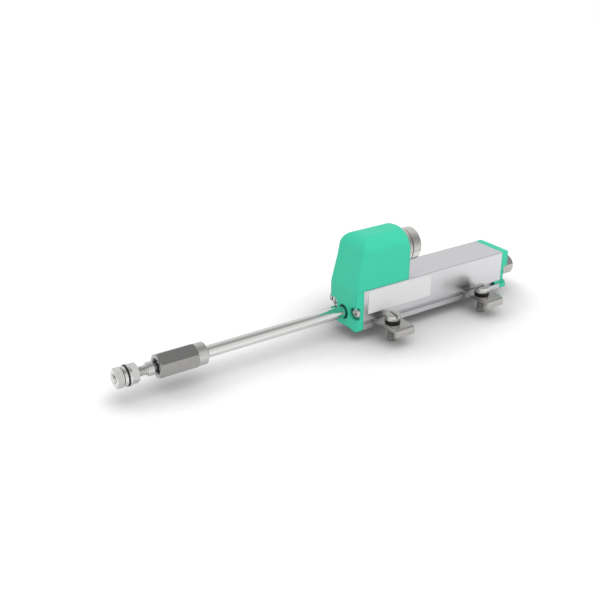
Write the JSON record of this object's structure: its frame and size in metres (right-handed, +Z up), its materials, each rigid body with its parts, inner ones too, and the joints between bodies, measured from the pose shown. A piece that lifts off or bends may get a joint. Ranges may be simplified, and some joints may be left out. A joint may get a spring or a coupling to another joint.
{
  "type": "linear potentiometer",
  "caption": "Linear potentiometer with square aluminium case, green connector housing, sliding rod, ball coupling with threaded stud and side mounting clamps.",
  "frame": {"origin": "middle of the case's underside, the face that goes on the machine", "axes": "+X along the rod from its tip towards the case's rear cap, +Y across the case, +Z up towards the connector tower"},
  "size_m": [0.2034, 0.0474, 0.0448],
  "materials": {
    "anodised_aluminium": "satin natural anodised extrusion",
    "green_plastic": "moulded, soft sheen",
    "plug_steel": "turned, zinc plated",
    "end_screw_steel": "zinc plated",
    "nickel_shell": "nickel plated",
    "insert_plastic": "moulded, dull",
    "pin_metal": "gold plated",
    "bush_bronze": "sintered",
    "scraper_rubber": "smooth",
    "track_laminate": "conductive plastic layer",
    "terminal_metal": "tinned",
    "lead_insulation": "smooth",
    "label_film": "satin film",
    "carriage_plastic": "machined",
    "contact_metal": "spring metal",
    "rod_steel": "ground and polished stainless",
    "clip_steel": "spring steel",
    "coupling_steel": "turned stainless",
    "seal_rubber": "smooth",
    "seat_plastic": "smooth",
    "stud_steel": "zinc plated",
    "nut_steel": "zinc plated",
    "washer_steel": "zinc plated",
    "black_steel": "blackened",
    "clamp_stainless": "satin stainless sheet",
    "clamp_screw_steel": "zinc plated"
  },
  "bodies": {
    "case": {"profile": "anodised_aluminium", "front_housing": "green_plastic", "rear_cap": "green_plastic", "rear_plug": "plug_steel", "front_screws": "end_screw_steel", "rear_screws": "end_screw_steel", "connector_shell": "nickel_shell", "connector_insert": "insert_plastic", "connector_pins": "pin_metal", "rod_bush": "bush_bronze", "rod_scraper": "scraper_rubber", "track_board": "track_laminate", "track_terminals": "terminal_metal", "lead_wires": "lead_insulation", "type_label": "label_film"},
    "carriage": {"wiper_carriage": "carriage_plastic", "wiper_contacts": "contact_metal"},
    "rod": {"rod": "rod_steel", "rod_clip": "clip_steel", "ball_coupling": "coupling_steel", "coupling_seal": "seal_rubber"},
    "seat": {"ball_seat": "seat_plastic"},
    "stud": {"ball_stud": "stud_steel", "inner_nut": "nut_steel", "plain_washer": "washer_steel", "black_ring": "black_steel", "lock_washer": "washer_steel", "outer_nut": "nut_steel"},
    "clamp_front_left": {"clamp_plate_front_left": "clamp_stainless", "clamp_ring_front_left": "black_steel", "clamp_screw_front_left": "clamp_screw_steel"},
    "clamp_front_right": {"clamp_plate_front_right": "clamp_stainless", "clamp_ring_front_right": "black_steel", "clamp_screw_front_right": "clamp_screw_steel"},
    "clamp_rear_left": {"clamp_plate_rear_left": "clamp_stainless", "clamp_ring_rear_left": "black_steel", "clamp_screw_rear_left": "clamp_screw_steel"},
    "clamp_rear_right": {"clamp_plate_rear_right": "clamp_stainless", "clamp_ring_rear_right": "black_steel", "clamp_screw_rear_right": "clamp_screw_steel"}
  },
  "joints": [
    {"name": "rod_slide", "type": "slide", "parent": "case", "child": "carriage", "axis": [1, 0, 0], "range_m": [0, 0.055]},
    {"name": "rod_turn", "type": "hinge", "parent": "carriage", "child": "rod", "pos_m": [-0.03, 0, 0.0065], "axis": [1, 0, 0], "continuous": true},
    {"name": "seat_turn", "type": "hinge", "parent": "rod", "child": "seat", "pos_m": [-0.1279, 0, 0.0065], "axis": [1, 0, 0], "continuous": true},
    {"name": "stud_tilt", "type": "hinge", "parent": "seat", "child": "stud", "pos_m": [-0.1279, 0, 0.0065], "axis": [0, 1, 0], "range_deg": [-12, 12]},
    {"name": "clamp_slide_front_left", "type": "slide", "parent": "case", "child": "clamp_front_left", "axis": [1, 0, 0], "range_m": [-0.005, 0.018]},
    {"name": "clamp_slide_front_right", "type": "slide", "parent": "case", "child": "clamp_front_right", "axis": [1, 0, 0], "range_m": [-0.005, 0.018]},
    {"name": "clamp_slide_rear_left", "type": "slide", "parent": "case", "child": "clamp_rear_left", "axis": [1, 0, 0], "range_m": [-0.02, 0.008]},
    {"name": "clamp_slide_rear_right", "type": "slide", "parent": "case", "child": "clamp_rear_right", "axis": [1, 0, 0], "range_m": [-0.02, 0.008]}
  ]
}
